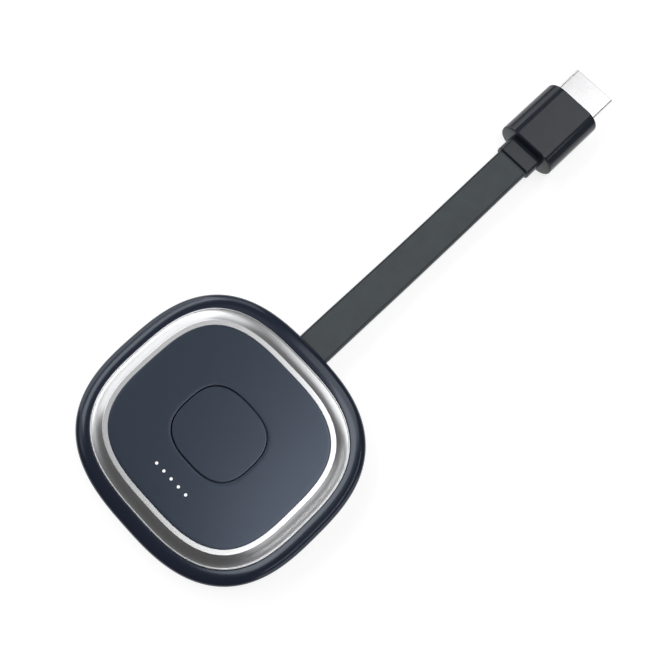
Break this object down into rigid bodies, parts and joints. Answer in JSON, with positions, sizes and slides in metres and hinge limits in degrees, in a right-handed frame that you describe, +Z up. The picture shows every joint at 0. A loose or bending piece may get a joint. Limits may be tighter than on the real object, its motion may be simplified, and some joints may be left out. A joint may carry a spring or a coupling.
{
  "type": "wireless display adapter",
  "caption": "Rounded-square wireless display adapter puck with a silver ring, a press button, a row of lights and a short flat cable to a video plug.",
  "frame": {"origin": "on the table under the middle of the puck, measured without the cable and its plug", "axes": "+Z up through the button, +Y along the cable towards the plug, +X across the cable"},
  "size_m": [0.0716, 0.18, 0.0102],
  "materials": {
    "base": "fine satin moulded texture",
    "rim": "glossy navy moulding",
    "silver": "satin plated trim",
    "face": "silky matt coating",
    "clear": "clear moulding, white where lit",
    "board": "solder mask",
    "radio_mask": "solder mask",
    "chip": "moulded package",
    "pad": "soft thermal pad",
    "tin": "tinned sheet",
    "gilt": "gold plated contacts",
    "ceramic": "ceramic body",
    "ferrite": "sintered core",
    "socket_black": "moulded insulator",
    "ivory": "moulded header",
    "screw": "zinc plated",
    "foot": "matt rubber",
    "cable": "matt flexible jacket",
    "overmold": "satin moulding",
    "plug_metal": "bright plated sheet"
  },
  "bodies": {
    "case": {"bottom_shell": "base", "top_shell": "rim", "silver_ring": "silver", "face_plate": "face", "switch_dome": "tin", "switch_base": "chip", "switch_cover": "tin", "light_guide": "clear", "indicator_lights": "clear", "main_board": "board", "processor": "chip", "thermal_pad": "pad", "heat_spreader": "tin", "memory_chip": "chip", "flash_chip": "chip", "power_chip": "chip", "power_coil": "ferrite", "small_capacitors": "ceramic", "crystal": "tin", "radio_board": "radio_mask", "radio_shield": "tin", "antenna_left": "gilt", "antenna_right": "gilt", "power_socket_shell": "tin", "power_socket_tongue": "socket_black", "power_socket_contacts": "gilt", "case_screws": "screw", "foot_ring": "foot", "cable_grommet": "foot", "cable_tail": "gilt", "cable_header": "ivory", "cable": "cable", "cable_collar": "overmold", "plug_overmold": "overmold", "plug_shell": "plug_metal", "plug_insulator": "socket_black", "plug_contacts": "gilt", "plug_board": "board"},
    "button": {"button_cap": "face", "switch_plunger": "ivory"}
  },
  "joints": [
    {"name": "button_press", "type": "slide", "parent": "case", "child": "button", "axis": [0, 0, -1], "range_m": [0, 0.0003], "stiffness_N_per_m": 4000, "deforming": ["switch_dome"]}
  ]
}
